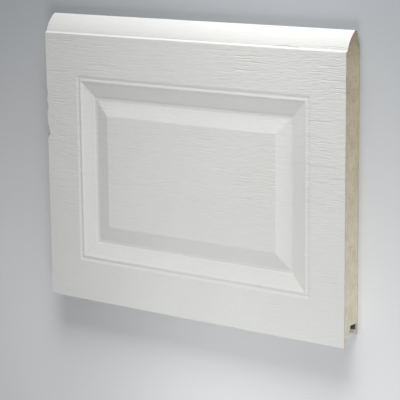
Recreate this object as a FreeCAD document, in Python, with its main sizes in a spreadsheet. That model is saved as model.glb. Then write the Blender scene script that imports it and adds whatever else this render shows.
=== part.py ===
"""A cut length of a double-skinned, foam-filled sectional door panel, lying on its back.

X runs along the door's width, Y up the panel from the lip to the tongue and Z from the
back skin, which lies on the floor, to the outer face. The origin is under the middle.
"""
import FreeCAD
import Part
import Sketcher
import os

DIMENSIONS = {
    # Overall sizes of the sample
    "panel_width": 655.0,
    "face_height": 500.0,
    "panel_thickness": 42.0,
    "skin": 0.5,
    # Hinge centre that the joint's curves share, behind the back and below the shoulder
    "pivot_behind": 16.5,
    "pivot_below": 13.4,
    # Tongue on the upper edge, whose curve is set back from the face level with that centre
    "tongue_setback": 1.9,
    "ledge_rise": 2.5,
    "crown_width": 3.4,
    "crown_bevel": 4.0,
    "crown_bevel_drop": 6.0,
    "tongue_root_height": 8.0,
    "seam_strip": 1.0,
    "seam_gap": 1.0,
    # Groove under the lower edge
    "joint_clearance": 1.0,
    "groove_headroom": 2.0,
    "groove_width": 16.7,
    "lip_tip": 2.4,
    "lip_taper": 9.0,
    "back_lip_rise": 17.0,
    "back_lip_thickness": 6.0,
    # Plain margins beside, above and below the cassette, and how far it is off the middle
    "stile": 71.0,
    "rail": 75.5,
    "cassette_shift": 2.0,
    # Pressed cassette, measured inwards from its outer edge and down from the face
    "bead_groove": 4.8,
    "bead_crest": 9.8,
    "valley_start": 38.6,
    "valley_end": 43.9,
    "field_start": 70.8,
    "bead_groove_depth": 1.0,
    "bead_crest_depth": 0.1,
    "valley_depth": 7.2,
    "field_depth": 1.2,
    # Nicks along the left cut edge, measured down from the shoulder
    "first_nick_top": 101.5,
    "first_nick_length": 23.0,
    "first_nick_bite": 2.0,
    "second_nick_top": 127.5,
    "second_nick_length": 21.0,
    "second_nick_bite": 2.9,
    "long_nick_top": 157.5,
    "long_nick_length": 40.5,
    "long_nick_bite": 4.8,
    "long_nick_step": 11.0,
    "nick_reach": 8.0,
}

SHEET = "dims"
ALONG_X = FreeCAD.Vector(1, 0, 0)
ALONG_Z = FreeCAD.Vector(0, 0, 1)
# Turns of a sketch, as quaternions: onto the YZ plane, and onto the XZ plane
END_FACING = (0.5, 0.5, 0.5, 0.5)
SIDE_FACING = (0.5**0.5, 0.0, 0.0, 0.5**0.5)


def pivot_depth(radius, rise):
    """Height above the back of a circle about the hinge centre, at a rise above an edge."""
    return f"(sqrt({radius}^2 - ({rise} + dims.pivot_below)^2) - dims.pivot_behind)"


def pivot_rise(radius, above_back):
    """Rise above an edge of a circle about the hinge centre, at a height above the back."""
    return f"(sqrt({radius}^2 - ({above_back} + dims.pivot_behind)^2) - dims.pivot_below)"


# Sizes that follow from the sheet, as expressions
TONGUE_RADIUS = "(dims.panel_thickness + dims.pivot_behind - dims.tongue_setback)"
CAVITY_RADIUS = f"({TONGUE_RADIUS} + dims.joint_clearance)"
TONGUE_BACK = "(dims.back_lip_thickness + dims.joint_clearance)"
CROWN_BACK = f"({TONGUE_BACK} + dims.crown_bevel)"
CROWN = f"({CROWN_BACK} + dims.crown_width)"
TONGUE_HEIGHT = pivot_rise(TONGUE_RADIUS, CROWN)
TOP = f"(dims.face_height + {TONGUE_HEIGHT})"
GROOVE_DEPTH = f"({TONGUE_HEIGHT} + dims.groove_headroom)"
THROAT = "(dims.back_lip_thickness + dims.groove_width)"
CASSETTE_WIDTH = "(dims.panel_width - 2 * dims.stile)"
CASSETTE_HEIGHT = "(dims.face_height - 2 * dims.rail)"


def make_sheet(doc):
    """Put every driving dimension in a cell of its own, with its name as alias."""
    sheet = doc.addObject("Spreadsheet::Sheet", SHEET)
    for row, (name, value) in enumerate(DIMENSIONS.items(), start=1):
        sheet.set(f"A{row}", name)
        sheet.set(f"B{row}", str(value))
        sheet.setAlias(f"B{row}", name)
    doc.recompute()
    return sheet


def outer_line():
    """Corners of the outer skin's own surface, from the groove round to the tongue's top.

    Each corner is (up the panel, above the back, radius of an arc to the next corner).
    """
    return [
        (GROOVE_DEPTH, THROAT, None),
        (pivot_rise(CAVITY_RADIUS, THROAT), THROAT, CAVITY_RADIUS),
        ("dims.lip_taper", pivot_depth(CAVITY_RADIUS, "dims.lip_taper"), None),
        ("0", "dims.panel_thickness - dims.lip_tip", None),
        ("0", "dims.panel_thickness", None),
        ("dims.face_height", "dims.panel_thickness", None),
        ("dims.face_height + dims.ledge_rise",
         pivot_depth(TONGUE_RADIUS, "dims.ledge_rise"), TONGUE_RADIUS),
        (TOP, CROWN, None),
        (TOP, f"{CROWN_BACK} + dims.seam_strip + dims.seam_gap", None),
    ]


def inner_line():
    """Corners of the inner skin's own surface, from the tongue's top round to the groove."""
    return [
        (TOP, f"{CROWN_BACK} + dims.seam_strip", None),
        (TOP, CROWN_BACK, None),
        (f"{TOP} - dims.crown_bevel_drop", TONGUE_BACK, None),
        ("dims.face_height + dims.tongue_root_height", TONGUE_BACK, None),
        ("dims.face_height", "0", None),
        ("dims.back_lip_rise", "0", None),
        ("dims.back_lip_rise", "dims.back_lip_thickness", None),
        (GROOVE_DEPTH, "dims.back_lip_thickness", None),
    ]


def add_sketch(doc, name, corners, closed):
    """Draw a line through the corners, with every corner and radius bound to the sheet."""
    sketch = doc.addObject("Sketcher::SketchObject", name)
    places = []
    for across, up, _ in corners:
        places.append(FreeCAD.Vector(sketch.evalExpression(across), sketch.evalExpression(up), 0))
    count = len(corners) if closed else len(corners) - 1
    ends = []
    for index in range(count):
        first = places[index]
        last = places[(index + 1) % len(places)]
        ends.append(add_edge(sketch, first, last, corners[index][2]))
    for index in range(count - 1 + int(closed)):
        following = ends[(index + 1) % count]
        sketch.addConstraint(Sketcher.Constraint("Coincident", *ends[index][1], *following[0]))
    for index, (across, up, _) in enumerate(corners):
        holder = ends[index][0] if index < count else ends[-1][1]
        bind_point(sketch, holder, f"corner{index}", across, up)
    return sketch


def add_edge(sketch, first, last, radius):
    """Add a line, or an arc about a centre nearer to the back, and return its two ends.

    Each end is a pair: the number of the edge in the sketch, and which of its points it is.
    """
    if radius is None:
        edge = sketch.addGeometry(Part.LineSegment(first, last))
        return (edge, 1), (edge, 2)
    size = sketch.evalExpression(radius)
    chord = last - first
    outwards = FreeCAD.Vector(-chord.y, chord.x, 0).normalize()
    if outwards.y < 0:
        outwards = -outwards
    middle = (first + last) / 2
    bulge = size - (size**2 - chord.Length**2 / 4) ** 0.5
    edge = sketch.addGeometry(Part.Arc(first, middle + outwards * bulge, last))
    starts_first = sketch.getPoint(edge, 1).distanceToPoint(first) < chord.Length / 2
    bound = sketch.addConstraint(Sketcher.Constraint("Radius", edge, size))
    sketch.setExpression(f"Constraints[{bound}]", radius)
    return ((edge, 1), (edge, 2)) if starts_first else ((edge, 2), (edge, 1))


def bind_point(sketch, holder, name, across, up):
    """Hold one point of a sketch at two expressions, measured from the sketch's origin."""
    for kind, letter, expression in (("DistanceX", "x", across), ("DistanceY", "y", up)):
        value = sketch.evalExpression(expression)
        if expression == "0":
            axis = -2 if kind == "DistanceX" else -1
            sketch.addConstraint(Sketcher.Constraint("PointOnObject", *holder, axis))
            continue
        bound = sketch.addConstraint(Sketcher.Constraint(kind, -1, 1, *holder, value))
        sketch.renameConstraint(bound, name + letter)
        sketch.setExpression(f"Constraints.{name}{letter}", expression)


def lay(obj, along="-dims.panel_width / 2", up="0"):
    """Set an object's origin at the panel's lower left corner, or shifted along X or up Z."""
    obj.setExpression("Placement.Base.x", along)
    obj.setExpression("Placement.Base.y", f"-{TOP} / 2")
    obj.setExpression("Placement.Base.z", up)


def section(doc, name, corners, closed):
    """Draw a line in the panel's cross-section, at its left cut end."""
    sketch = add_sketch(doc, name, corners, closed)
    sketch.Placement.Rotation = FreeCAD.Rotation(*END_FACING)
    lay(sketch)
    return sketch


def extrude(doc, name, profile, direction, length):
    """Extrude a closed profile along one axis by a length from the sheet."""
    solid = doc.addObject("Part::Extrusion", name)
    solid.Base = profile
    solid.DirMode = "Custom"
    solid.Dir = direction
    solid.Solid = True
    solid.setExpression("LengthFwd", length)
    return solid


def combine(doc, kind, name, base, tool):
    """Join two shapes, or cut the second from the first."""
    result = doc.addObject(f"Part::{kind}", name)
    result.Base = base
    result.Tool = tool
    result.Refine = True
    return result


def folded_sheet(doc, name, corners):
    """Fold a sheet of the skin's thickness along its outer line, the length of the sample."""
    line = section(doc, name + "_line", corners, closed=False)
    band = doc.addObject("Part::Offset2D", name + "_band")
    band.Source = line
    band.Fill = True
    band.Mode = "Skin"
    band.Join = "Intersection"
    band.setExpression("Value", "dims.skin")
    return extrude(doc, name + "_sheet", band, ALONG_X, "dims.panel_width")


def relief(doc, name, drop):
    """Make the space over the pressed cassette: a mitred ring and the flat field inside it.

    The ring carries one cross-section round the cassette's outer rectangle: bead groove,
    crest, slope to the valley and slope to the field. drop lowers all of it.
    """
    face = f"dims.panel_thickness - {drop}"
    left = f"dims.cassette_shift - {CASSETTE_WIDTH} / 2"
    rectangle = [
        ("0", "0", None),
        (CASSETTE_WIDTH, "0", None),
        (CASSETTE_WIDTH, CASSETTE_HEIGHT, None),
        ("0", CASSETTE_HEIGHT, None),
    ]
    path = add_sketch(doc, name + "_path", rectangle, closed=True)
    lay(path, along=left, up=face)
    path.setExpression("Placement.Base.y", f"dims.rail - {TOP} / 2")
    deepest = "dims.valley_depth"
    steps = [
        ("0", f"{deepest}", None),
        ("dims.bead_groove", f"{deepest} - dims.bead_groove_depth", None),
        ("dims.bead_crest", f"{deepest} - dims.bead_crest_depth", None),
        ("dims.valley_start", "0", None),
        ("dims.valley_end", "0", None),
        ("dims.field_start", f"{deepest} - dims.field_depth", None),
        ("dims.field_start", f"2 * {deepest}", None),
        ("0", f"2 * {deepest}", None),
    ]
    profile = add_sketch(doc, name + "_profile", steps, closed=True)
    profile.Placement.Rotation = FreeCAD.Rotation(*SIDE_FACING)
    profile.setExpression("Placement.Base.x", left)
    profile.setExpression("Placement.Base.y", f"dims.rail + {CASSETTE_HEIGHT} / 2 - {TOP} / 2")
    profile.setExpression("Placement.Base.z", f"{face} - {deepest}")
    doc.recompute()
    ring = doc.addObject("Part::Sweep", name + "_ring")
    ring.Sections = [profile]
    ring.Spine = (path, [f"Edge{number}" for number in range(1, len(path.Shape.Edges) + 1)])
    ring.Transition = "Right corner"
    ring.Solid = True
    field = doc.addObject("Part::Box", name + "_field")
    field.setExpression("Length", f"{CASSETTE_WIDTH} - 2 * dims.field_start")
    field.setExpression("Width", f"{CASSETTE_HEIGHT} - 2 * dims.field_start")
    field.setExpression("Height", "dims.field_depth + dims.valley_depth")
    field.setExpression("Placement.Base.x", f"{left} + dims.field_start")
    field.setExpression("Placement.Base.y", f"dims.rail + dims.field_start - {TOP} / 2")
    field.setExpression("Placement.Base.z", f"{face} - dims.field_depth")
    return combine(doc, "Fuse", name, ring, field)


def nick(doc, name, low, deepest, high, bite):
    """Make a bite out of the left cut edge, from the outer face down into the foam.

    The cutting shape stands out of the edge by the bite and above the face by the reach.
    """
    corners = [
        ("0", low, None),
        (bite, low, None),
        (f"2 * {bite}", deepest, None),
        (bite, high, None),
        ("0", high, None),
    ]
    outline = add_sketch(doc, name + "_outline", corners, closed=True)
    lay(outline, along=f"-dims.panel_width / 2 - {bite}",
        up="dims.panel_thickness - dims.nick_reach")
    return extrude(doc, name, outline, ALONG_Z, "2 * dims.nick_reach")


def edge_nicks(doc, name):
    """Join the two short nicks and the long one below them, which ends in a steep step."""
    bites = []
    for which, step in (("first", "dims.first_nick_length / 2"),
                        ("second", "dims.second_nick_length / 2"),
                        ("long", "dims.long_nick_step")):
        high = f"(dims.face_height - dims.{which}_nick_top)"
        low = f"({high} - dims.{which}_nick_length)"
        bites.append(nick(doc, f"{name}_{which}", low, f"{low} + {step}", high,
                          f"dims.{which}_nick_bite"))
    joined = doc.addObject("Part::MultiFuse", name)
    joined.Shapes = bites
    return joined


def outer_skin(doc):
    """Press the cassette into the folded outer sheet and nick its left edge."""
    sheet = folded_sheet(doc, "outer", outer_line())
    backed = combine(doc, "Fuse", "outer_backed", sheet, relief(doc, "outer_backing", "dims.skin"))
    pressed = combine(doc, "Cut", "outer_pressed", backed, relief(doc, "outer_relief", "0"))
    return combine(doc, "Cut", "outer_skin", pressed, edge_nicks(doc, "outer_nicks"))


def inner_skin(doc):
    """Fold the inner sheet, which is plain."""
    return folded_sheet(doc, "inner_skin", inner_line())


def foam_core(doc):
    """Fill the section between the skins, under the cassette and behind the nicks."""
    outline = section(doc, "whole_outline", outer_line() + inner_line(), closed=True)
    whole = extrude(doc, "whole", outline, ALONG_X, "dims.panel_width")
    behind_outer = combine(doc, "Cut", "foam_front", whole, folded_sheet(doc, "foam_outer", outer_line()))
    between = combine(doc, "Cut", "foam_between", behind_outer,
                      folded_sheet(doc, "foam_inner", inner_line()))
    under = combine(doc, "Cut", "foam_under", between, relief(doc, "foam_relief", "dims.skin"))
    return combine(doc, "Cut", "foam_core", under, edge_nicks(doc, "foam_nicks"))


def check(doc, pieces):
    """Stop if any object failed or any piece isn't one valid solid."""
    for obj in doc.Objects:
        if {"Invalid", "Error"} & set(obj.State):
            raise RuntimeError(f"{obj.Name} failed: {obj.State}")
    for name, piece in pieces.items():
        shape = piece.Shape
        if shape.isNull() or not shape.isValid() or len(shape.Solids) != 1:
            raise RuntimeError(f"{name} is not one valid solid")


def main():
    """Build the panel's three pieces and write one file for each."""
    doc = FreeCAD.newDocument("door_panel")
    make_sheet(doc)
    pieces = {
        "outer_skin": outer_skin(doc),
        "foam_core": foam_core(doc),
        "inner_skin": inner_skin(doc),
    }
    for name, piece in pieces.items():
        piece.Label = name
    doc.recompute()
    check(doc, pieces)
    os.makedirs("parts", exist_ok=True)
    for piece in pieces.values():
        piece.Shape.exportStep(f"parts/{piece.Label}.step")


if __name__ == "__main__":
    main()
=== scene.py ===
"""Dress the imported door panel: pressed wood-grain skin, sawn foam core and plain inner skin.

The panel lies on its back. X runs along the door's width, Y up the panel from its lip to its
tongue, and Z out of the outer face. Lengths are in metres. A section of the panel is drawn in
two coordinates: h, up the panel from the lip's tip, and z, above the back.
"""

from __future__ import annotations

import logging
import math
from dataclasses import dataclass, field
from enum import Enum
from typing import Mapping, Sequence

import bpy
import numpy as np
from mathutils import Matrix, Vector


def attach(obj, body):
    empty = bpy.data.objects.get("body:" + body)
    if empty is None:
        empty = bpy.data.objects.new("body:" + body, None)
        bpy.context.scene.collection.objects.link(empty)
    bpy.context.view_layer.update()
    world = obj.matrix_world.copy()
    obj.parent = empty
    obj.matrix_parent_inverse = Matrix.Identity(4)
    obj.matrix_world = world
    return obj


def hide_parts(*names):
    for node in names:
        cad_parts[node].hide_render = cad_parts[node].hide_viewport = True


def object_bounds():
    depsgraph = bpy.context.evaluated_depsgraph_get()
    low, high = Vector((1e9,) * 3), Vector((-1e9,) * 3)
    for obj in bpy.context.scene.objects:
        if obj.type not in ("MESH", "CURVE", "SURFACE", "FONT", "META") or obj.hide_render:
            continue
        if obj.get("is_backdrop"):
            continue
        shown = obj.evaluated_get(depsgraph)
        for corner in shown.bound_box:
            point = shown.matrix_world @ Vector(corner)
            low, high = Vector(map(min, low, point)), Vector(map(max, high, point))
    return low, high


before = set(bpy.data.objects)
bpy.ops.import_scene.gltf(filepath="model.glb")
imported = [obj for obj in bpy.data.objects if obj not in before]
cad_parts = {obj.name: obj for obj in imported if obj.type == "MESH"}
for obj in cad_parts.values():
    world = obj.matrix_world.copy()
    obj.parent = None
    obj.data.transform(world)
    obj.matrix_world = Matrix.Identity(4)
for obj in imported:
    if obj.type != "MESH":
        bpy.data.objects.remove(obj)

Array = np.ndarray
Pair = tuple[float, float]
Triple = tuple[float, float, float]
Colour = tuple[float, float, float, float]
Sockets = Mapping[str | int, object]
Piece = bpy.types.Object
Finish = bpy.types.Material

TINY = 1e-7
FOLD_POINTS = 6
PAINT_IOR = 1.47
# Painted shade: a dark colour painted into the top of the groove, where shade falls.
GROOVE_POCKET_SHADE: Colour = (0.105, 0.088, 0.070, 1.0)

log = logging.getLogger("door_panel")


class Slot(Enum):
    """Material slots of the pieces."""

    OUTER_PAINT = "outer_paint"
    FOAM = "foam"
    INNER_PAINT = "inner_paint"


class End(Enum):
    """Cut ends of the panel, each with the seed of its saw marks."""

    LEFT = 47
    RIGHT = 31


def smooth_step(value: Array, low: float, high: float) -> Array:
    """Rise from 0 at low to 1 at high along the cubic 3t^2 - 2t^3."""
    t = np.clip((value - low) / (high - low), 0.0, 1.0)
    return t * t * (3.0 - 2.0 * t)


def lattice_noise(u: Array, v: Array, seed: int) -> Array:
    """Give smooth noise between -1 and 1.

    Each corner of a unit lattice holds a seeded value. A point takes the mean of the four
    corners round it, weighted by the smooth step of its place in the cell.

    Args:
        u: First lattice coordinate.
        v: Second lattice coordinate.
        seed: Seed of the corner values.

    Returns:
        The noise, of the shape of u and v.
    """
    size = 512
    table = np.random.default_rng(seed).uniform(-1.0, 1.0, (size, size))
    column, row = np.floor(u).astype(int), np.floor(v).astype(int)
    s, t = u - column, v - row
    s, t = s * s * (3.0 - 2.0 * s), t * t * (3.0 - 2.0 * t)
    left, right = column % size, (column + 1) % size
    low, high = row % size, (row + 1) % size
    near = table[low, left] * (1.0 - s) + table[low, right] * s
    far = table[high, left] * (1.0 - s) + table[high, right] * s
    return near * (1.0 - t) + far * t


@dataclass(frozen=True)
class Ripple:
    """Lattice noise of a height, with cells of a length and a width."""

    height: float
    length: float
    width: float
    seed: int = 0
    start: Pair = (0.0, 0.0)

    def at(self, u: Array, v: Array, seed: int = 0) -> Array:
        """Give the noise at places along and across; seed is added to the ripple's own."""
        column, row = u / self.length + self.start[0], v / self.width + self.start[1]
        return self.height * lattice_noise(column, row, self.seed + seed)


def even_steps(start: float, stop: float, step: float) -> Array:
    """Divide a run evenly, in steps no longer than step, with both ends."""
    return np.linspace(start, stop, max(2, math.ceil(abs(stop - start) / step) + 1))


def reaches(line: Array) -> Array:
    """Give the distance along a line to each of its points."""
    return np.concatenate([[0.0], np.cumsum(np.linalg.norm(np.diff(line, axis=0), axis=1))])


def along(line: Array, share: Array) -> Array:
    """Read points of a line, one a row, at shares of its length from 0 to 1."""
    reach = reaches(line)
    return np.stack([np.interp(share * reach[-1], reach, axis) for axis in line.T], axis=1)


def divided(line: Array, step: float) -> Array:
    """Add points to a line, so that no run is longer than step, and keep its corners.

    Args:
        line: Points of the line, one a row.
        step: Longest run.

    Returns:
        The points of the divided line, one a row.
    """
    reach = reaches(line)
    places = np.concatenate([even_steps(a, b, step) for a, b in zip(reach, reach[1:])])
    return along(line, np.unique(places) / reach[-1])


def bent(corners: Sequence[Pair], radii: Sequence[float]) -> Array:
    """Round the corners of an open line.

    A corner becomes an arc that touches both of its runs: its centre lies on the bisector,
    the radius over the sine of half the angle away from the corner.

    Args:
        corners: Corner points of the line.
        radii: Bend radius of each corner, 0 for a point that stays.

    Returns:
        The points of the rounded line, one a row.
    """
    points = np.asarray(corners, dtype=float)
    t = np.linspace(0.0, 1.0, FOLD_POINTS)[:, None]
    runs = [points[:1]]
    for k in range(1, len(points) - 1):
        if radii[k] == 0.0:
            runs.append(points[k : k + 1])
            continue
        back, ahead = points[k - 1] - points[k], points[k + 1] - points[k]
        back, ahead = back / np.linalg.norm(back), ahead / np.linalg.norm(ahead)
        half = 0.5 * math.acos(float(np.clip(back @ ahead, -1.0, 1.0)))
        middle = (back + ahead) / np.linalg.norm(back + ahead)
        centre = points[k] + middle * radii[k] / math.sin(half)
        start = points[k] + back * radii[k] / math.tan(half) - centre
        stop = points[k] + ahead * radii[k] / math.tan(half) - centre
        swing = math.pi - 2.0 * half
        arc = (np.sin((1.0 - t) * swing) * start + np.sin(t * swing) * stop) / math.sin(swing)
        runs.append(centre + arc)
    runs.append(points[-1:])
    return np.concatenate(runs)


def outward(line: Array) -> Array:
    """Give the normals to the left of a line, each from the mean direction of its two runs.

    Args:
        line: Points of the line, one a row.

    Returns:
        One unit normal a row.
    """
    runs = np.diff(line, axis=0)
    runs = runs / np.linalg.norm(runs, axis=1)[:, None]
    mean = np.concatenate([runs[:1], runs[:-1] + runs[1:], runs[-1:]])
    mean = mean / np.linalg.norm(mean, axis=1)[:, None]
    return np.stack([-mean[:, 1], mean[:, 0]], axis=1)


def grid_triangles(ids: Array, rising: Array | None = None) -> Array:
    """Split the cells of a grid of vertices into triangles.

    Args:
        ids: Vertex numbers by row and column.
        rising: For each cell, whether its diagonal joins the first corner to the opposite one.

    Returns:
        Three vertex numbers a row, which turn from columns to rows.
    """
    a, b, c, d = ids[:-1, :-1], ids[:-1, 1:], ids[1:, 1:], ids[1:, :-1]
    if rising is None:
        rising = np.ones(a.shape, dtype=bool)
    pick = rising[..., None]
    first = np.where(pick, np.stack([a, b, c], -1), np.stack([a, b, d], -1))
    second = np.where(pick, np.stack([a, c, d], -1), np.stack([b, c, d], -1))
    return np.concatenate([first.reshape(-1, 3), second.reshape(-1, 3)])


def hem_triangles(upper: Array, lower: Array, kept: Array) -> Array:
    """Close the gap between a fine edge and a coarse one that holds some of its points.

    Args:
        upper: Vertex numbers along the fine edge.
        lower: Vertex numbers along the coarse edge.
        kept: Places in the fine edge that the coarse edge's points stand under.

    Returns:
        Three vertex numbers a row.
    """
    place = np.arange(len(upper) - 1)
    under = np.searchsorted(kept, place, side="right") - 1
    fans = np.stack([lower[under], upper[1:], upper[:-1]], axis=1)
    steps = np.stack([lower[:-1], lower[1:], upper[kept[1:]]], axis=1)
    return np.concatenate([fans, steps])


def mesh_piece(
    name: str, vertices: Array, triangles: Array, finish: Array, crease: float
) -> Piece:
    """Put arrays of vertices and triangles into an object of the scene.

    Args:
        name: Name of the piece.
        vertices: One point a row.
        triangles: Three vertex numbers a row.
        finish: Number of the material of each triangle.
        crease: Angle in radians past which an edge shows as sharp.

    Returns:
        The new object, at the origin.
    """
    mesh = bpy.data.meshes.new(name)
    mesh.from_pydata(vertices.tolist(), [], triangles.tolist())
    mesh.polygons.foreach_set("material_index", finish.astype(np.int32))
    mesh.polygons.foreach_set("use_smooth", np.ones(len(triangles), dtype=bool))
    mesh.set_sharp_from_angle(angle=crease)
    mesh.update()
    piece = bpy.data.objects.new(name, mesh)
    bpy.context.scene.collection.objects.link(piece)
    return piece


class Wire:
    """A shader socket that takes part in Python arithmetic."""

    def __init__(self, desk: ShaderDesk, socket: bpy.types.NodeSocket) -> None:
        """Hold an output socket and the desk whose tree it belongs to."""
        self.desk = desk
        self.socket = socket

    def _math(self, operation: str, first: Wire | float, second: Wire | float) -> Wire:
        """Add a Math node on two values."""
        sockets = {0: first, 1: second}
        return self.desk.wire("ShaderNodeMath", {"operation": operation}, sockets)

    def __add__(self, other: Wire | float) -> Wire:
        """Add a value."""
        return self._math("ADD", self, other)

    def __radd__(self, other: float) -> Wire:
        """Add to a number."""
        return self._math("ADD", other, self)

    def __sub__(self, other: Wire | float) -> Wire:
        """Take a value away."""
        return self._math("SUBTRACT", self, other)

    def __rsub__(self, other: float) -> Wire:
        """Take from a number."""
        return self._math("SUBTRACT", other, self)

    def __mul__(self, other: Wire | float) -> Wire:
        """Multiply by a value."""
        return self._math("MULTIPLY", self, other)

    def __rmul__(self, other: float) -> Wire:
        """Multiply a number."""
        return self._math("MULTIPLY", other, self)

    def __abs__(self) -> Wire:
        """Drop the sign."""
        return self._math("ABSOLUTE", self, 0.0)

    def least(self, other: Wire | float) -> Wire:
        """Take the smaller of two values."""
        return self._math("MINIMUM", self, other)

    def step(self, low: float, high: float) -> Wire:
        """Rise smoothly from 0 at low to 1 at high; a low above high falls."""
        sockets = {"Value": self, "From Min": low, "From Max": high}
        return self.desk.wire("ShaderNodeMapRange", {"interpolation_type": "SMOOTHSTEP"}, sockets)


class ShaderDesk:
    """The node tree of one material, with the few calls that fill it."""

    def __init__(self, name: str) -> None:
        """Start a material with only a Principled shader and its output.

        Args:
            name: Name of the material.
        """
        self.material = bpy.data.materials.new(name)
        self.material.use_nodes = True
        self.tree = self.material.node_tree
        self.tree.nodes.clear()
        self.shader = self.node("ShaderNodeBsdfPrincipled", {}, {})
        output = self.node("ShaderNodeOutputMaterial", {}, {})
        self.tree.links.new(self.shader.outputs["BSDF"], output.inputs["Surface"])

    def node(self, kind: str, settings: Mapping[str, object], sockets: Sockets) -> bpy.types.Node:
        """Add a node.

        Args:
            kind: Type of the node.
            settings: Properties that are set first.
            sockets: Values or wires of its inputs, by name or number.

        Returns:
            The new node.
        """
        node = self.tree.nodes.new(kind)
        for key, value in settings.items():
            setattr(node, key, value)
        self.join(node, sockets)
        return node

    def join(self, node: bpy.types.Node, sockets: Sockets) -> None:
        """Set or link the inputs of a node.

        Args:
            node: The node.
            sockets: Values or wires of its inputs, by name or number.
        """
        for key, value in sockets.items():
            if isinstance(value, Wire):
                self.tree.links.new(value.socket, node.inputs[key])
            else:
                node.inputs[key].default_value = value

    def wire(
        self, kind: str, settings: Mapping[str, object], sockets: Sockets, output: str | int = 0
    ) -> Wire:
        """Add a node, and give one of its outputs ready for arithmetic."""
        return Wire(self, self.node(kind, settings, sockets).outputs[output])

    def place(self) -> Wire:
        """Give the object coordinates of the surface."""
        return self.wire("ShaderNodeTexCoord", {}, {}, "Object")

    def axes(self, place: Wire) -> tuple[Wire, Wire, Wire]:
        """Split coordinates into X, Y and Z."""
        split = self.node("ShaderNodeSeparateXYZ", {}, {0: place})
        return tuple(Wire(self, split.outputs[k]) for k in range(3))

    def stretched(self, axes: Sequence[Wire], cells: Triple) -> Wire:
        """Combine coordinates, each times a number of cells a metre."""
        sockets = {k: axis * count for k, (axis, count) in enumerate(zip(axes, cells))}
        return self.wire("ShaderNodeCombineXYZ", {}, sockets)

    def noise(self, place: Wire, scale: float, detail: float = 3.0, rough: float = 0.5) -> Wire:
        """Give cloudy noise between 0 and 1."""
        sockets = {"Vector": place, "Scale": scale, "Detail": detail, "Roughness": rough}
        return self.wire("ShaderNodeTexNoise", {}, sockets)

    def blend(self, share: Wire | float, first: Wire | Colour, second: Wire | Colour) -> Wire:
        """Mix two colours."""
        sockets = {0: share, 6: first, 7: second}
        return self.wire("ShaderNodeMix", {"data_type": "RGBA"}, sockets, 2)

    def bump(self, height: Wire, depth: float) -> Wire:
        """Turn a height into a normal; depth is the real height of the value 1."""
        sockets = {"Height": height, "Distance": depth, "Strength": 1.0}
        return self.wire("ShaderNodeBump", {}, sockets)

    def finished(self, sockets: Sockets) -> Finish:
        """Set the shader's inputs and give the material."""
        self.join(self.shader, sockets)
        return self.material


@dataclass(frozen=True)
class OuterPaint:
    """Satin white paint on steel with an embossed wood grain."""

    colour: Colour = (0.612, 0.612, 0.599, 1.0)
    worn: Colour = (0.580, 0.579, 0.566, 1.0)
    roughness: float = 0.48
    gloss: float = 0.25
    grain_depth: float = 0.0007
    sway: float = 0.006
    pore_cells: Triple = (58.0, 330.0, 1.0)
    fine_cells: Triple = (100.0, 600.0, 1.0)
    score_cells: Triple = (12.0, 300.0, 1.0)
    slope_start: Pair = (0.008, 0.013)
    slope_stop: Pair = (0.073, 0.068)
    tongue_start: Pair = (0.032, 0.020)
    lower_half: Pair = (-0.02, -0.09)
    bottom_rail: Pair = (-0.13, -0.18)

    def material(self, section: PanelSection, cassette: Cassette) -> Finish:
        """Blend two close whites in soft patches, with fine grain in the bump.

        The grain gains strength in patches and towards the cut ends, most at the right one. It
        is weaker over the lower half, on the tongue, and on the slopes of the cassette's frame,
        where the pressing has drawn it flat.

        Args:
            section: Sizes of the panel.
            cassette: Sizes of the pressing.

        Returns:
            The paint's material.
        """
        desk = ShaderDesk("outer_paint_satin")
        place = desk.place()
        x, y, z = desk.axes(place)
        cloud = desk.noise(place, 7.0, 3.0, 0.55)
        patch = desk.noise(place, 15.0, 2.0).step(0.3, 0.7)
        rows = (x, y + self.sway * desk.noise(place, 24.0, 2.0), z)
        pores = desk.noise(desk.stretched(rows, self.pore_cells), 1.0, 1.0)
        fine = desk.noise(desk.stretched(rows, self.fine_cells), 1.0, 1.0)
        scores = desk.noise(desk.stretched(rows, self.score_cells), 1.0, 0.0).step(0.69, 0.77)
        top, middle = 0.5 * section.overall, 0.5 * (section.face_height - section.overall)
        from_side = 0.5 * section.width - cassette.stile - abs(x - cassette.shift)
        from_rail = 0.5 * section.face_height - cassette.rail - abs(y - middle)
        inset = from_side.least(from_rail)
        drawn = inset.step(*self.slope_start) * inset.step(*self.slope_stop)
        bent_over = y.step(*(top - drop for drop in self.tongue_start))
        calm = 1.0 - 0.55 * y.step(*self.lower_half) - 0.15 * y.step(*self.bottom_rail)
        strength = 0.38 + 0.33 * patch + 7.0 * x * x + 1.3 * x
        strength = strength * calm * (1.0 - 0.6 * drawn) * (1.0 - 0.7 * bent_over)
        grain = (0.7 * pores + 0.3 * fine - 0.5 * scores) * strength
        share = 0.55 * cloud.step(0.35, 0.75) + 0.3 * pores.step(0.62, 0.38)
        sockets = {
            "Base Color": desk.blend(share, self.colour, self.worn),
            "Roughness": self.roughness + 0.12 * cloud - 0.06 * pores,
            "Normal": desk.bump(grain, self.grain_depth),
            "IOR": PAINT_IOR,
            "Specular IOR Level": self.gloss,
        }
        return desk.finished(sockets)


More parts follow.
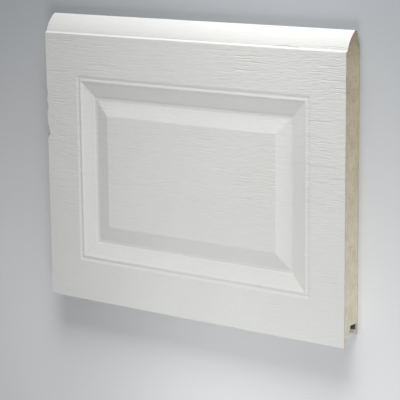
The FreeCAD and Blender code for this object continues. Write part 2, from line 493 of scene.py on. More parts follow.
@dataclass(frozen=True)
class InnerPaint:
    """Satin off-white paint on smooth steel."""

    colour: Colour = (0.560, 0.565, 0.555, 1.0)
    dust_and_shade: Colour = (0.490, 0.485, 0.465, 1.0)
    # Painted shade of the groove's top pocket.
    pocket_shade: Colour = GROOVE_POCKET_SHADE
    roughness: float = 0.46
    streak_cells: Triple = (6.0, 40.0, 40.0)
    peel_depth: float = 0.00004
    lip_edge: Pair = (0.0008, 0.0002)
    pocket_shade_edge: float = 0.0012

    def material(self, section: PanelSection) -> Finish:
        """Blend clean paint and dust in wide patches, with painted shade in the groove's top.

        Args:
            section: Sizes of the panel.

        Returns:
            The paint's material.
        """
        desk = ShaderDesk("inner_paint_satin")
        place = desk.place()
        x, y, z = desk.axes(place)
        cloud = desk.noise(place, 6.0, 4.0, 0.55)
        streak = desk.noise(desk.stretched((x, y, z), self.streak_cells), 1.0, 3.0)
        peel = desk.noise(place, 520.0, 2.0)
        share = 0.7 * cloud.step(0.35, 0.72) + 0.25 * streak.step(0.45, 0.7)
        start = section.pocket - 0.5 * section.overall
        lip = z.step(*(section.back_lip - drop for drop in self.lip_edge)) * y.step(0.0, -0.05)
        # Painted shade: the back lip's inside is painted dark above the pocket's start.
        pocket_shaded = lip * (y + 0.002 * cloud).step(start, start + self.pocket_shade_edge)
        paint = desk.blend(share, self.colour, self.dust_and_shade)
        sockets = {
            "Base Color": desk.blend(pocket_shaded, paint, self.pocket_shade),
            "Roughness": self.roughness + 0.14 * cloud,
            "Normal": desk.bump(peel, self.peel_depth),
            "IOR": PAINT_IOR,
        }
        return desk.finished(sockets)


@dataclass(frozen=True)
class CutSteel:
    """Bare edge of galvanised sheet, as the shears left it."""

    name: str
    bright: Colour = (0.520, 0.520, 0.505, 1.0)
    dull: Colour = (0.300, 0.290, 0.275, 1.0)
    metallic: float = 0.85
    roughness: float = 0.38
    mark_depth: float = 0.00005

    def material(self) -> Finish:
        """Blend bright and dull zinc along the edge, with shear marks across it.

        Returns:
            The edge's material.
        """
        desk = ShaderDesk(self.name)
        place = desk.place()
        patch = desk.noise(place, 90.0, 3.0)
        marks = desk.noise(place, 1800.0, 2.0)
        sockets = {
            "Base Color": desk.blend(patch.step(0.35, 0.65), self.bright, self.dull),
            "Metallic": self.metallic,
            "Roughness": self.roughness + 0.2 * patch,
            "Normal": desk.bump(marks, self.mark_depth),
        }
        return desk.finished(sockets)


@dataclass(frozen=True)
class SawnFoam:
    """Rigid foam, sawn through: fine cells, torn pits, streaks and painted shade."""

    cream: Colour = (0.765, 0.732, 0.602, 1.0)
    tan: Colour = (0.460, 0.388, 0.252, 1.0)
    # Dark colour of the pits and cells, and of the painted shade towards the tongue.
    pits_and_shade_dark: Colour = (0.215, 0.180, 0.118, 1.0)
    # Painted shade of the groove's top pocket.
    pocket_shade: Colour = GROOVE_POCKET_SHADE
    # Grey painted shade for the foam of the back lip.
    dust_and_shade: Colour = (0.400, 0.395, 0.345, 1.0)
    roughness: float = 0.95
    gloss: float = 0.2
    streak_cells: Triple = (60.0, 46.0, 420.0)
    cell: float = 0.0011
    relief: float = 0.0004
    # Band below the top that takes painted shade.
    tongue_shade_band: Pair = (0.060, 0.004)
    edge: float = 0.0004

    def material(self, section: PanelSection) -> Finish:
        """Blend cream and tan in clouds, with dark pits and painted shade at the tongue, groove
        and back lip.

        Args:
            section: Sizes of the panel.

        Returns:
            The foam's material.
        """
        top = 0.5 * section.overall
        desk = ShaderDesk("foam_sawn")
        place = desk.place()
        x, y, z = desk.axes(place)
        cloud = desk.noise(place, 38.0, 4.0, 0.6)
        streak = desk.noise(desk.stretched((x, y, z), self.streak_cells), 1.0, 3.0, 0.6)
        sockets = {"Vector": place, "Scale": 1.0 / self.cell}
        cells = desk.wire("ShaderNodeTexVoronoi", {"feature": "F1"}, sockets)
        pits = desk.noise(place, 330.0, 2.0, 0.6).step(0.62, 0.72)
        share = 0.2 * cloud.step(0.35, 0.68) + 0.25 * streak.step(0.4, 0.7)
        # Painted shade: the foam turns from cream to tan up the panel, darkest towards the
        # tongue.
        share = share + 0.5 * y.step(-top, 0.7 * top)
        body = desk.blend(share, self.cream, self.tan)
        # Painted shade: a dark band just below the top, added to the real pits.
        pits_and_tongue_shade = 0.45 * y.step(*(top - drop for drop in self.tongue_shade_band)) + 0.45 * pits
        dark = pits_and_tongue_shade + 0.12 * cells.step(0.25, 0.75)
        height = 0.7 * cells + 0.5 * streak - 1.2 * pits
        ceiling, lip = section.groove_depth - top, section.back_lip
        # Painted shade: the foam ceiling of the groove takes the dark pocket colour.
        inside = z.step(lip, lip + self.edge)
        inside = inside * z.step(section.throat, section.throat - self.edge)
        groove = inside * y.step(ceiling + self.edge, ceiling)
        # Painted shade: the foam in the back lip is greyed below the groove's top.
        tail = z.step(lip + 3.0 * self.edge, lip - self.edge)
        tail = 0.75 * tail * y.step(ceiling + 0.004, ceiling - 0.003)
        sawn = desk.blend(tail, desk.blend(dark, body, self.pits_and_shade_dark), self.dust_and_shade)
        sockets = {
            "Base Color": desk.blend(groove, sawn, self.pocket_shade),
            "Roughness": self.roughness,
            "Normal": desk.bump(height, self.relief),
            "Specular IOR Level": self.gloss,
        }
        return desk.finished(sockets)


@dataclass(frozen=True)
class PaleFloor:
    """Plain pale studio floor, with painted shade that greys it behind the panel."""

    near: Colour = (0.665, 0.669, 0.681, 1.0)
    # Painted shade: the colour the floor darkens to behind the panel.
    far: Colour = (0.330, 0.352, 0.372, 1.0)
    shade_start_y: float = -0.42
    full_shade_y: float = 0.62
    roughness: float = 0.9
    gloss: float = 0.1

    def material(self) -> Finish:
        """Grade the floor from front to back, with painted shade behind the panel.

        Returns:
            The floor's material.
        """
        desk = ShaderDesk("floor_pale")
        _, y, _ = desk.axes(desk.place())
        sockets = {
            "Base Color": desk.blend(y.step(self.shade_start_y, self.full_shade_y), self.near, self.far),
            "Roughness": self.roughness,
            "Specular IOR Level": self.gloss,
        }
        return desk.finished(sockets)


@dataclass(frozen=True)
class PanelSection:
    """Sizes of the panel's section, and the lines that its sheets follow."""

    width: float
    overall: float
    thickness: float
    skin: float = 0.0005
    hinge_behind: float = 0.0165
    hinge_below: float = 0.0134
    tongue_setback: float = 0.0019
    ledge_rise: float = 0.0025
    crown_width: float = 0.0034
    crown_bevel: float = 0.004
    crown_bevel_drop: float = 0.006
    root_height: float = 0.008
    seam_strip: float = 0.001
    seam_gap: float = 0.001
    clearance: float = 0.001
    headroom: float = 0.002
    groove_width: float = 0.0167
    lip_tip: float = 0.0024
    lip_taper: float = 0.009
    back_lip_rise: float = 0.017
    back_lip: float = 0.006
    pocket_drop: float = 0.003
    fold: float = 0.0011
    shoulder_fold: float = 0.0013
    crown_fold: float = 0.0008
    root_fold: float = 0.002
    face_run: float = 0.004
    fold_step: float = 0.0025
    arc_points: int = 15

    @property
    def tongue_radius(self) -> float:
        """Radius of the tongue's front about the hinge."""
        return self.thickness + self.hinge_behind - self.tongue_setback

    @property
    def cavity_radius(self) -> float:
        """Radius of the lip's hollow about the hinge."""
        return self.tongue_radius + self.clearance

    @property
    def tongue_back(self) -> float:
        """Height of the tongue's back above the panel's back."""
        return self.back_lip + self.clearance

    @property
    def crown(self) -> float:
        """Height of the crown's front edge above the back."""
        return self.tongue_back + self.crown_bevel + self.crown_width

    @property
    def tongue_height(self) -> float:
        """Reach of the tongue above the face."""
        return self.rise(self.tongue_radius, self.crown) - self.hinge_below

    @property
    def face_height(self) -> float:
        """Height of the face, from the lip's tip to the shoulder."""
        return self.overall - self.tongue_height

    @property
    def groove_depth(self) -> float:
        """Depth of the groove above the lip's tip."""
        return self.tongue_height + self.headroom

    @property
    def throat(self) -> float:
        """Height of the groove's front wall above the back."""
        return self.back_lip + self.groove_width

    @property
    def pocket(self) -> float:
        """Height up the panel at which the painted shade of the groove's pocket starts on the
        back lip.
        """
        return self.rise(self.cavity_radius, self.throat) - self.hinge_below - self.pocket_drop

    @property
    def seam(self) -> Pair:
        """Edges of the outer and inner sheets on the crown."""
        inner = self.tongue_back + self.crown_bevel + self.seam_strip
        return inner + self.seam_gap, inner

    def rise(self, radius: float, z: float) -> float:
        """Distance up the panel from the hinge to a circle about it, at height z."""
        return math.sqrt(radius**2 - (z + self.hinge_behind) ** 2)

    def height(self, radius: float, rise: float) -> float:
        """Height above the back of a circle about the hinge, at a rise."""
        return math.sqrt(radius**2 - rise**2) - self.hinge_behind

    def arc(self, radius: float, hinge: float, start: float, stop: float) -> list[Pair]:
        """Follow a circle about a hinge between two heights.

        Args:
            radius: Radius of the circle.
            hinge: Place of the hinge up the panel.
            start: Height of the first point above the back.
            stop: Height of the last point.

        Returns:
            Points (h, z) at even angles, ends included.
        """
        ends = [math.asin((z + self.hinge_behind) / radius) for z in (start, stop)]
        angles = np.linspace(*ends, self.arc_points)
        h = hinge + radius * np.cos(angles)
        return list(zip(h.tolist(), (radius * np.sin(angles) - self.hinge_behind).tolist()))

    def lip_line(self) -> Array:
        """Follow the outer sheet from the groove's front wall round the lip to the face.

        Returns:
            Points (h, z), the last on the face just above the lip's tip.
        """
        taper = self.height(self.cavity_radius, self.lip_taper + self.hinge_below)
        curve = self.arc(self.cavity_radius, -self.hinge_below, self.throat, taper)
        tip = [(0.0, self.thickness - self.lip_tip), (0.0, self.thickness)]
        end = (self.face_run, self.thickness)
        corners = [(self.groove_depth, self.throat), *curve, *tip, end]
        radii = [0.0, self.fold, *[0.0] * (len(curve) - 2), *[self.fold] * 3, 0.0]
        return divided(bent(corners, radii), self.fold_step)

    def tongue_line(self) -> Array:
        """Follow the outer sheet from the face over the shoulder and tongue to the seam.

        Returns:
            Points (h, z), the first on the face just below the shoulder.
        """
        face = self.face_height
        root = self.height(self.tongue_radius, self.ledge_rise + self.hinge_below)
        curve = self.arc(self.tongue_radius, face - self.hinge_below, root, self.crown)
        shoulder = [(face - self.face_run, self.thickness), (face, self.thickness)]
        corners = [*shoulder, *curve, (self.overall, self.seam[0])]
        folds = [self.shoulder_fold, self.fold, *[0.0] * (len(curve) - 2), self.fold]
        return divided(bent(corners, [0.0, *folds, 0.0]), self.fold_step)

    def back_line(self) -> Array:
        """Follow the inner sheet from the seam down the back and round the back lip.

        Returns:
            Points (h, z).
        """
        top, face = self.overall, self.face_height
        corners = [
            (top, self.seam[1]),
            (top, self.tongue_back + self.crown_bevel),
            (top - self.crown_bevel_drop, self.tongue_back),
            (face + self.root_height, self.tongue_back),
            (face, 0.0),
            (self.back_lip_rise, 0.0),
            (self.back_lip_rise, self.back_lip),
            (self.groove_depth, self.back_lip),
        ]
        root, lip = [self.root_fold] * 2, [self.fold] * 2
        return bent(corners, [0.0, self.crown_fold, self.fold, *root, *lip, 0.0])


@dataclass(frozen=True)
class Cassette:
    """Pressed frame and field of the face, by inset from the frame's outer edge."""

    stile: float = 0.071
    rail: float = 0.0755
    shift: float = 0.002
    insets: tuple[float, ...] = (0.0, 0.0048, 0.0098, 0.0148, 0.0364, 0.0386, 0.0439, 0.0708)
    depths: tuple[float, ...] = (0.0, 0.0010, 0.0001, 0.0016, 0.0063, 0.0072, 0.0072, 0.0012)
    press_radius: float = 0.0012
    mitre_radius: float = 0.0007
    zone: Pair = (-0.004, 0.0755)
    bend_offsets: tuple[float, ...] = (0.0004, 0.0012, 0.0022)
    closest: float = 0.0003
    slope_step: float = 0.0034
    span: Pair = (-0.012, 0.100)
    sample: float = 0.00015

    def zone_insets(self) -> Array:
        """Lay the grid lines through the frame, close together on both sides of a bend.

        Returns:
            Their insets, in rising order.
        """
        offsets = np.concatenate([-np.asarray(self.bend_offsets)[::-1], self.bend_offsets])
        near = np.add.outer(self.insets, offsets).ravel()
        marks = np.unique(np.concatenate([near, self.zone]))
        marks = marks[np.append(True, np.diff(marks) > self.closest)]
        runs = [even_steps(a, b, self.slope_step) for a, b in zip(marks, marks[1:])]
        return np.unique(np.concatenate(runs).round(7))

    def depth(self, section: PanelSection, x: Array, h: Array) -> Array:
        """Give the depth of the pressing below the face.

        The inset is the smaller distance to the frame's nearest upright and rail edge, with
        the mitre softened by a soft minimum. The depth follows a broken line over the inset,
        averaged twice over the press radius so that its corners are round.

        Args:
            section: Sizes of the panel.
            x: Place along the width, from the middle.
            h: Place up the panel.

        Returns:
            The depth, of the shape of x and h.
        """
        from_side = 0.5 * section.width - self.stile - np.abs(x - self.shift)
        from_rail = 0.5 * section.face_height - self.rail - np.abs(h - 0.5 * section.face_height)
        soft = np.exp(-np.abs(from_side - from_rail) / self.mitre_radius)
        inset = np.minimum(from_side, from_rail) - self.mitre_radius * np.log1p(soft)
        fine = np.arange(*self.span, self.sample)
        rough = np.interp(fine, self.insets, self.depths)
        window = np.ones(int(self.press_radius / self.sample) | 1)
        window = window / window.sum()
        pad = len(window)
        padded = np.pad(rough, pad, mode="edge")
        rounded = np.convolve(np.convolve(padded, window, "same"), window, "same")[pad:-pad]
        return np.interp(inset, fine, rounded)


@dataclass(frozen=True)
class WoodGrain:
    """Embossed grain: long wavy pores that run along the width."""

    emboss: float = 0.00022
    wide_waves: Ripple = Ripple(0.012, 0.120, 0.070, 11)
    narrow_waves: Ripple = Ripple(0.0035, 0.042, 0.030, 12)
    pores: Ripple = Ripple(0.42, 0.027, 0.0021, 13, (40.0, 60.0))
    short_pores: Ripple = Ripple(0.22, 0.0135, 0.0021 / 1.37, 14, (9.0, 21.0))
    patches: Ripple = Ripple(0.28, 0.090, 0.055, 15, (5.0, 5.0))
    patch_mean: float = 0.72
    lower_share: float = 0.5
    lower_half: Pair = (0.170, 0.250)

    def depth(self, x: Array, h: Array) -> Array:
        """Give the depth of the grain below the face.

        Noise is stretched along the width, and its rows are bent by wide and narrow waves. Its
        strength changes in patches, and falls to a share of itself over the lower half.

        Args:
            x: Place along the width.
            h: Place up the panel.

        Returns:
            Depths from 0 to the full emboss.
        """
        across = h + self.wide_waves.at(x, h) + self.narrow_waves.at(x, h)
        pores = 0.5 + self.pores.at(x, across) + self.short_pores.at(x, across)
        upper = smooth_step(h, *self.lower_half)
        strength = self.lower_share + (1.0 - self.lower_share) * upper
        strength = strength * (self.patch_mean + self.patches.at(x, h))
        return self.emboss * strength * np.clip(pores, 0.0, 1.0)


@dataclass(frozen=True)
class Nick:
    """One scallop nibbled out of the left cut edge."""

    below_shoulder: float
    length: float
    bite: float
    deepest: float

    def depth(self, section: PanelSection, h: Array) -> Array:
        """Give the bite, half a sine over the length that peaks at the deepest share."""
        t = np.clip((section.face_height - self.below_shoulder - h) / self.length, 0.0, 1.0)
        return self.bite * np.sin(math.pi * t ** (math.log(0.5) / math.log(self.deepest)))


@dataclass(frozen=True)
class CutEdge:
    """The left cut edge with its nicks."""

    nicks: tuple[Nick, ...] = (
        Nick(0.1015, 0.0230, 0.0020, 0.5),
        Nick(0.1275, 0.0210, 0.0029, 0.5),
        Nick(0.1575, 0.0405, 0.0048, 0.73),
    )
    reach: Pair = (0.008, 0.006)
    feather: float = 0.014

    def bite(self, section: PanelSection, h: Array) -> Array:
        """Add up the nicks."""
        return sum(nick.depth(section, h) for nick in self.nicks)


@dataclass
class FoldedSheet:
    """A thin sheet folded along the width, as one closed shell."""

    section: PanelSection
    name: str
    node: str
    slot: Slot
    crease: float = math.radians(38.0)
    row_step: float = 0.012
    column_step: float = 0.016
    column_stride: int = 1

    def lines(self) -> tuple[Array, Array, Array]:
        """Give the sheet's line, which of its points the underside keeps, and its columns.

        Returns:
            Points (h, z), numbers of kept points, and places along the width.
        """
        line = divided(self.section.back_line(), self.row_step)
        half = 0.5 * self.section.width
        return line, np.arange(len(line)), even_steps(-half, half, self.column_step)

    def outer(self, line: Array, x: Array, h: Array) -> tuple[Array, Array]:
        """Give the shift along the width and the depth below the line, here none."""
        return np.zeros_like(x), np.zeros_like(x)

    def under(self, line: Array, x: Array, h: Array) -> Array:
        """Give the underside's depth below the line."""
        return np.full_like(x, self.section.skin)

    def rising(self, columns: Array, line: Array) -> Array | None:
        """Choose the diagonal of each cell, here the same for all."""
        return None

    def surface(self, line: Array, normals: Array, x: Array, depth: Array) -> Array:
        """Place a grid: the line's point less its normal times the depth, at each column."""
        h, z = (line[:, [k]] - normals[:, [k]] * depth for k in range(2))
        return np.stack([x, h - 0.5 * self.section.overall, z], axis=-1).reshape(-1, 3)

    def build(self) -> Piece:
        """Carry the line along the width and close it with an underside and four hems.

        Returns:
            The sheet's object.
        """
        line, kept_rows, columns = self.lines()
        normals = outward(line)
        last = len(columns) - 1
        kept_cols = np.unique([*range(0, last, self.column_stride), last])
        x, h = np.broadcast_arrays(columns[None, :], line[:, :1])
        shift, depth = self.outer(line, x, h)
        upper = self.surface(line, normals, x + shift, depth)
        pick = np.ix_(kept_rows, kept_cols)
        below = self.under(line[kept_rows], (x + shift)[pick], h[pick])
        lower = self.surface(line[kept_rows], normals[kept_rows], (x + shift)[pick], below)
        top = np.arange(len(upper)).reshape(x.shape)
        low = len(upper) + np.arange(len(lower)).reshape(below.shape)
        faces = [
            grid_triangles(top, self.rising(columns, line)),
            grid_triangles(low)[:, ::-1],
            hem_triangles(top[0], low[0], kept_cols),
            hem_triangles(top[-1], low[-1], kept_cols)[:, ::-1],
            hem_triangles(top[:, -1], low[:, -1], kept_rows),
            hem_triangles(top[:, 0], low[:, 0], kept_rows)[:, ::-1],
        ]
        finish = np.concatenate([np.full(len(f), int(k > 1)) for k, f in enumerate(faces)])
        vertices = np.concatenate([upper, lower])
        return mesh_piece(self.name, vertices, np.concatenate(faces), finish, self.crease)

    def dress(self, piece: Piece, paint: Finish) -> None:
        """Give the sheet its paint and bare edges, and set it in its node's place.

        Args:
            piece: The sheet's object.
            paint: Material of its two sides.
        """
        piece.data.materials.append(paint)
        piece.data.materials.append(CutSteel(name=self.name + "_edge").material())
        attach(piece, "root")
        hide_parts(self.node)


@dataclass
class OuterSkin(FoldedSheet):
    """The pressed outer sheet: lip, face with its cassette, shoulder and tongue."""

    name: str = "outer_skin_pressed"
    node: str = "outer_skin"
    slot: Slot = Slot.OUTER_PAINT
    cassette: Cassette = field(default_factory=Cassette)
    grain: WoodGrain = field(default_factory=WoodGrain)
    edge: CutEdge = field(default_factory=CutEdge)
    row_step: float = 0.0017
    column_step: float = 0.0072
    row_strides: tuple[int, ...] = (6, 2, 6, 2, 6)
    column_stride: int = 2
    grain_fade: Pair = (0.004, 0.009)

    def lines(self) -> tuple[Array, Array, Array]:
        """Lay the rows and columns, close together across the cassette's frame.

        Returns:
            Points (h, z), numbers of kept points, and places along the width.
        """
        section, zone = self.section, self.cassette.zone_insets()
        lip, tongue = section.lip_line(), section.tongue_line()
        face = section.face_height
        low, high = self.cassette.rail + zone, (face - self.cassette.rail - zone)[::-1]
        rows = [
            even_steps(lip[-1, 0], low[0], self.row_step)[1:-1],
            low,
            even_steps(low[-1], high[0], self.row_step)[1:-1],
            high,
            even_steps(high[-1], tongue[0, 0], self.row_step)[1:-1],
        ]
        h = np.concatenate(rows)
        flat = np.stack([h, np.full_like(h, section.thickness)], axis=1)
        line = np.concatenate([lip, flat, tongue])
        keep = [np.ones(len(lip), dtype=bool)]
        keep += [np.arange(len(run)) % stride == 0 for run, stride in zip(rows, self.row_strides)]
        keep += [np.ones(len(tongue), dtype=bool)]
        half, stile, shift = 0.5 * section.width, self.cassette.stile, self.cassette.shift
        left, right = shift - half + stile + zone, (shift + half - stile - zone)[::-1]
        columns = [
            even_steps(-half, left[0], self.column_step)[:-1],
            left,
            even_steps(left[-1], right[0], self.column_step)[1:-1],
            right,
            even_steps(right[-1], half, self.column_step)[1:],
        ]
        return line, np.flatnonzero(np.concatenate(keep)), np.concatenate(columns)

    def on_face(self, line: Array) -> Array:
        """Mark the rows that lie on the flat face."""
        return (line[:, 1] > self.section.thickness - TINY)[:, None]

    def outer(self, line: Array, x: Array, h: Array) -> tuple[Array, Array]:
        """Press the cassette and the grain into the face, and nibble its left edge.

        The grain fades out towards the lip and the shoulder, and the shift of the left edge
        dies away over a short feather.

        Args:
            line: Points (h, z) of the sheet's line.
            x: Place along the width, by row and column.
            h: Place up the panel, by row and column.

        Returns:
            The shift along the width and the depth below the line.
        """
        section, face = self.section, self.on_face(line)
        from_left = x + 0.5 * section.width
        fall = np.clip(1.0 - from_left / self.edge.feather, 0.0, 1.0)
        shift = np.where(face, self.edge.bite(section, h) * fall, 0.0)
        fade = smooth_step(h, *self.grain_fade)
        fade = fade * smooth_step(section.face_height - h, *self.grain_fade)
        depth = self.cassette.depth(section, x + shift, h) + fade * self.grain.depth(x + shift, h)
        return shift, np.where(face, depth, 0.0)

    def under(self, line: Array, x: Array, h: Array) -> Array:
        """Give the underside's depth: the pressing, the sheet and the grain's emboss."""
        depth = self.cassette.depth(self.section, x, h) + self.grain.emboss
        return np.where(self.on_face(line), depth, 0.0) + self.section.skin

    def rising(self, columns: Array, line: Array) -> Array:
        """Choose diagonals that run along the mitres of the cassette's corners.

        Args:
            columns: Places along the width.
            line: Points (h, z) of the sheet's line.

        Returns:
            Whether each cell's diagonal rises, by row and column.
        """
        right = 0.5 * (columns[1:] + columns[:-1]) > self.cassette.shift
        upper = 0.5 * (line[1:, 0] + line[:-1, 0]) > 0.5 * self.section.face_height
        return right[None, :] == upper[:, None]


@dataclass
class InnerSkin(FoldedSheet):
    """The plain inner sheet: tongue's back, back and back lip."""

    name: str = "inner_skin_folded"
    node: str = "inner_skin"
    slot: Slot = Slot.INNER_PAINT


@dataclass
class FoamCore:
    """The foam between the sheets, with sawn ends."""

    section: PanelSection
    cassette: Cassette = field(default_factory=Cassette)
    edge: CutEdge = field(default_factory=CutEdge)
    name: str = "foam_core_sawn"
    node: str = "foam_core"
    step: float = 0.0017
    column_step: float = 0.013
    crease: float = math.radians(50.0)
    sink: float = 0.0014
    pit: float = 0.0007
    pit_edge: Pair = (0.38, 0.8)
    torn: Ripple = Ripple(0.7, 0.0046, 0.0046)
    crumbs: Ripple = Ripple(0.5, 0.0021, 0.0021, 1)
    saw: float = 0.00022
    strokes: Ripple = Ripple(0.5, 0.0034, 0.05, 2)
    stroke_slant: float = 0.12

    def border_lines(self) -> tuple[Array, Array, Array]:
        """Follow the insides of the two sheets, a sheet's thickness in from their lines.

        Returns:
            The front and the back, up from the groove's top, and the lip's hollow, up to it.
        """
        s = self.section
        groove, tip = s.groove_depth, s.thickness - s.lip_tip + s.skin
        tongue, back, hollow = s.tongue_line(), s.back_line()[::-1], s.lip_line()[::-1]
        tongue = tongue - s.skin * outward(tongue)
        back = back + s.skin * outward(back)
        hollow = hollow + s.skin * outward(hollow)
        tongue[-1, 0] = back[-1, 0] = s.overall - s.skin
        front = np.concatenate([[(groove, s.thickness - s.skin)], tongue])
        behind = np.concatenate([[(groove, s.skin)], back[back[:, 0] > 0.5 * s.face_height]])
        hollow = np.concatenate([[(s.skin, tip)], hollow[hollow[:, 1] < tip]])
        hollow[-1] = (groove, s.throat + s.skin)
        return front, behind, hollow

    def ruled(self, first: Array, second: Array, length: float, share: Array) -> Array:
        """Rule a grid between two lines, with rows at equal shares of both.

        Args:
            first: Points of the first line.
            second: Points of the second line.
            length: Length that the rows divide in steps.
            share: Shares of the way across, one a column.

        Returns:
            Points by row and column.
        """
        t = even_steps(0.0, 1.0, self.step / length)
        start, stop = along(first, t)[:, None], along(second, t)[:, None]
        return start * (1.0 - share[:, None]) + stop * share[:, None]

    def section_grid(self) -> tuple[Array, Array, list[Array], Array]:
        """Rule the section between its front and its back in three joined grids.

        The body's rows run from the front line to the back line. The front lip and the back lip
        hang below its first row, on either side of the groove, and share that row's points.

        Returns:
            Points (h, z), which points lie on the flat face, the three grids of vertex
            numbers, and the numbers of the outline's points in order.
        """
        s = self.section
        front_z, back_z, groove = s.thickness - s.skin, s.skin, s.groove_depth
        throat, lip, start = s.throat + s.skin, s.back_lip - s.skin, s.back_lip_rise + s.skin
        front, behind, hollow = self.border_lines()
        depth = front_z - back_z
        marks = [0.0, (front_z - throat) / depth, (front_z - lip) / depth, 1.0]
        runs = [even_steps(a, b, self.step / depth) for a, b in zip(marks, marks[1:])]
        share = np.concatenate([runs[0], runs[1][1:], runs[2][1:]])
        first, second = len(runs[0]) - 1, len(runs[0]) + len(runs[1]) - 2
        face = np.asarray([(s.skin, front_z), (groove, front_z)])
        inside = np.asarray([(start, lip), (groove, lip)])
        outside = np.asarray([(start, back_z), (groove, back_z)])
        tail_share = (runs[2] - marks[2]) / (1.0 - marks[2])
        body = self.ruled(front, behind, s.overall, share)
        nose = self.ruled(face, hollow, groove, runs[0] / marks[1])[:-1]
        tail = self.ruled(inside, outside, groove - s.back_lip_rise, tail_share)[:-1]
        points = np.concatenate([grid.reshape(-1, 2) for grid in (body, nose, tail)])
        breaks = np.cumsum([body.size // 2, nose.size // 2])
        body_ids, nose_ids, tail_ids = np.split(np.arange(len(points)), breaks)
        body_ids = body_ids.reshape(body.shape[:2])
        nose_ids = np.vstack([nose_ids.reshape(nose.shape[:2]), body_ids[:1, : first + 1]])
        tail_ids = np.vstack([tail_ids.reshape(tail.shape[:2]), body_ids[:1, second:]])
        rim = [tail_ids[:-1, -1], body_ids[:, -1], body_ids[-1, -2:0:-1], body_ids[::-1, 0]]
        rim += [nose_ids[-2::-1, 0], nose_ids[0, 1:-1], nose_ids[:, -1]]
        rim += [body_ids[0, first + 1 : second], tail_ids[::-1, 0], tail_ids[0, 1:-1]]
        flat = points[:, 1] > front_z - TINY
        return points, flat, [body_ids, nose_ids, tail_ids], np.concatenate(rim)

    def roughness(self, points: Array, end: End) -> Array:
        """Give how far a sawn end falls back: torn pits and saw marks across the thickness.

        Args:
            points: Points (h, z) of the end.
            end: Which end it is.

        Returns:
            The fall at each point.
        """
        h, z = points.T
        torn = self.torn.at(h, z, end.value) + self.crumbs.at(h, z, end.value)
        strokes = 0.5 + self.strokes.at(h + self.stroke_slant * z, z, end.value)
        return self.pit * smooth_step(torn, *self.pit_edge) + self.saw * strokes

    def build(self) -> Piece:
        """Close the outline's tube along the width with the two sawn ends.

        Returns:
            The foam's object.
        """
        s = self.section
        points, flat, grids, outline = self.section_grid()
        half, count = 0.5 * s.width, len(points)
        inner = np.ones(count)
        inner[outline] = 0.0
        h, z = points.T
        low, high = (s.thickness - reach for reach in self.edge.reach)
        bite = self.edge.bite(s, h) * smooth_step(z, low, high)
        left_x = -half + bite + inner * self.roughness(points, End.LEFT)
        right_x = half - inner * self.roughness(points, End.RIGHT)
        columns = even_steps(-half, half, self.column_step)[1:-1]
        x, rim_h = np.broadcast_arrays(columns[None, :], h[outline][:, None])
        sink = self.cassette.depth(s, x, rim_h) + self.sink
        rim_z = z[outline][:, None] - np.where(flat[outline][:, None], sink, 0.0)
        y, rim_y = h - 0.5 * s.overall, rim_h - 0.5 * s.overall
        ends = [np.stack([end_x, y, z], axis=1) for end_x in (left_x, right_x)]
        walls = np.stack([x, rim_y, rim_z], axis=-1).reshape(-1, 3)
        tube = 2 * count + np.arange(x.size).reshape(x.shape)
        tube = np.column_stack([outline, tube, outline + count])
        faces = [grid_triangles(np.vstack([tube, tube[:1]]))[:, ::-1]]
        faces += [grid_triangles(grid)[:, ::-1] for grid in grids]
        faces += [grid_triangles(grid + count) for grid in grids]
        triangles, vertices = np.concatenate(faces), np.concatenate([*ends, walls])
        return mesh_piece(self.name, vertices, triangles, np.zeros(len(triangles)), self.crease)

    def dress(self, piece: Piece, foam: Finish) -> None:
        """Give the foam its material, and set it in its node's place.

        Args:
            piece: The foam's object.
            foam: Its material.
        """
        piece.data.materials.append(foam)
        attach(piece, "root")
        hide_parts(self.node)


@dataclass(frozen=True)
class SoftLamp:
    """A square soft lamp that faces a point; a grid may narrow its spread, in degrees."""

    name: str
    place: Triple
    aim: Triple
    size: float
    power: float
    spread: float = 180.0

    def build(self) -> None:
        """Hang the lamp, turned from its place to its aim and hidden from the camera."""
        data = bpy.data.lights.new(self.name, "AREA")
        data.shape = "SQUARE"
        data.size = self.size
        data.energy = self.power
        data.spread = math.radians(self.spread)
        lamp = bpy.data.objects.new(self.name, data)
        turn = (Vector(self.aim) - Vector(self.place)).to_track_quat("-Z", "Y")
        lamp.matrix_world = Matrix.Translation(self.place) @ turn.to_matrix().to_4x4()
        lamp.visible_camera = False
        bpy.context.scene.collection.objects.link(lamp)


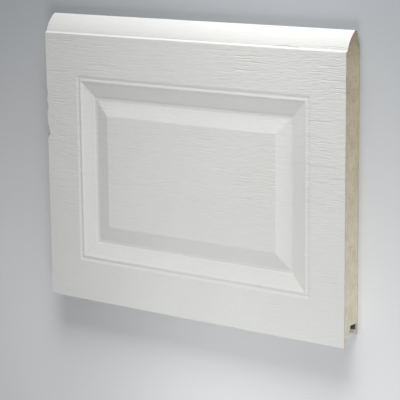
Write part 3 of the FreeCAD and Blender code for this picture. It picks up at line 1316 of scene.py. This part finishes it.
@dataclass(frozen=True)
class Studio:
    """Floor, lamps, world and camera."""

    lamps: tuple[SoftLamp, ...] = (
        SoftLamp("key", (0.60, 2.60, 1.00), (0.10, 0.0, 0.04), 1.60, 17.4, 70.0),
        SoftLamp("near", (0.20, 0.60, 0.30), (0.14, 0.05, 0.04), 0.40, 0.42, 110.0),
        SoftLamp("front", (0.40, -0.80, 1.00), (0.10, -0.05, 0.04), 0.60, 8.1),
        SoftLamp("low_front", (0.00, -0.75, 0.25), (0.05, -0.10, 0.04), 0.30, 0.16, 60.0),
        SoftLamp("end", (3.00, -1.60, 0.30), (0.3275, -0.10, 0.02), 0.30, 0.62, 30.0),
    )
    sky: float = 0.2
    camera_place: Triple = (1.72888, 0.52860, 2.31073)
    camera_ahead: Triple = (-0.58800448, -0.19820368, -0.7841977)
    camera_up: Triple = (-0.11059727, 0.98010811, -0.16479179)
    focal_length: float = 147.645
    sensor: float = 36.0
    clip: Pair = (0.05, 50.0)
    floor_size: float = 40.0
    floor_cells: int = 8
    floor_drop: float = 0.0003

    def build(self) -> None:
        """Lay the floor, hang the lamps and set up the camera."""
        scene = bpy.context.scene
        scene.view_settings.view_transform = "Standard"
        self.lay_floor()
        for lamp in self.lamps:
            lamp.build()
        world = bpy.data.worlds.new("soft_sky")
        world.use_nodes = True
        sky = world.node_tree.nodes["Background"]
        sky.inputs["Color"].default_value = (1.0, 1.0, 1.0, 1.0)
        sky.inputs["Strength"].default_value = self.sky
        scene.world = world
        scene.camera = self.hang_camera()

    def lay_floor(self) -> None:
        """Lay a square floor just under the panel."""
        half = 0.5 * self.floor_size
        u = np.linspace(-half, half, self.floor_cells + 1)
        x, y = np.meshgrid(u, u)
        vertices = np.stack([x, y, np.full_like(x, -self.floor_drop)], axis=-1).reshape(-1, 3)
        triangles = grid_triangles(np.arange(x.size).reshape(x.shape))
        floor = mesh_piece("floor", vertices, triangles, np.zeros(len(triangles)), math.pi)
        floor.data.materials.append(PaleFloor().material())
        floor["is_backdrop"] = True

    def hang_camera(self) -> Piece:
        """Place the camera at the photograph's viewpoint.

        Returns:
            The camera's object.
        """
        data = bpy.data.cameras.new("camera")
        data.sensor_fit = "HORIZONTAL"
        data.sensor_width = self.sensor
        data.lens = self.focal_length
        data.clip_start, data.clip_end = self.clip
        camera = bpy.data.objects.new("camera", data)
        ahead, up = Vector(self.camera_ahead).normalized(), Vector(self.camera_up)
        right = ahead.cross(up).normalized()
        turn = Matrix((right, right.cross(ahead), -ahead)).transposed()
        camera.matrix_world = Matrix.Translation(self.camera_place) @ turn.to_4x4()
        bpy.context.scene.collection.objects.link(camera)
        return camera


def plain(box: Sequence[Sequence[float]]) -> list[list[float]]:
    """Turn a box's corners into plain lists of numbers."""
    return [[float(v) for v in corner] for corner in box]


def main() -> None:
    """Build the pieces in order and report each; the imported box sizes the panel."""
    logging.basicConfig(level=logging.INFO, format="%(name)s: %(message)s")
    cad_box = plain(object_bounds())
    size = [high - low for low, high in zip(*cad_box)]
    section = PanelSection(width=size[0], overall=size[1], thickness=size[2])
    outer, inner, core = OuterSkin(section), InnerSkin(section), FoamCore(section)
    outer_paint = OuterPaint().material(section, outer.cassette)
    sheets = ((outer, outer_paint), (inner, InnerPaint().material(section)))
    foam = SawnFoam().material(section)
    for part, finish in (*sheets, (core, foam)):
        piece = part.build()
        part.dress(piece, finish)
        log.info("%s: %d triangles", piece.name, len(piece.data.polygons))
    Studio().build()
    bpy.context.view_layer.update()


if __name__ == "__main__":
    main()
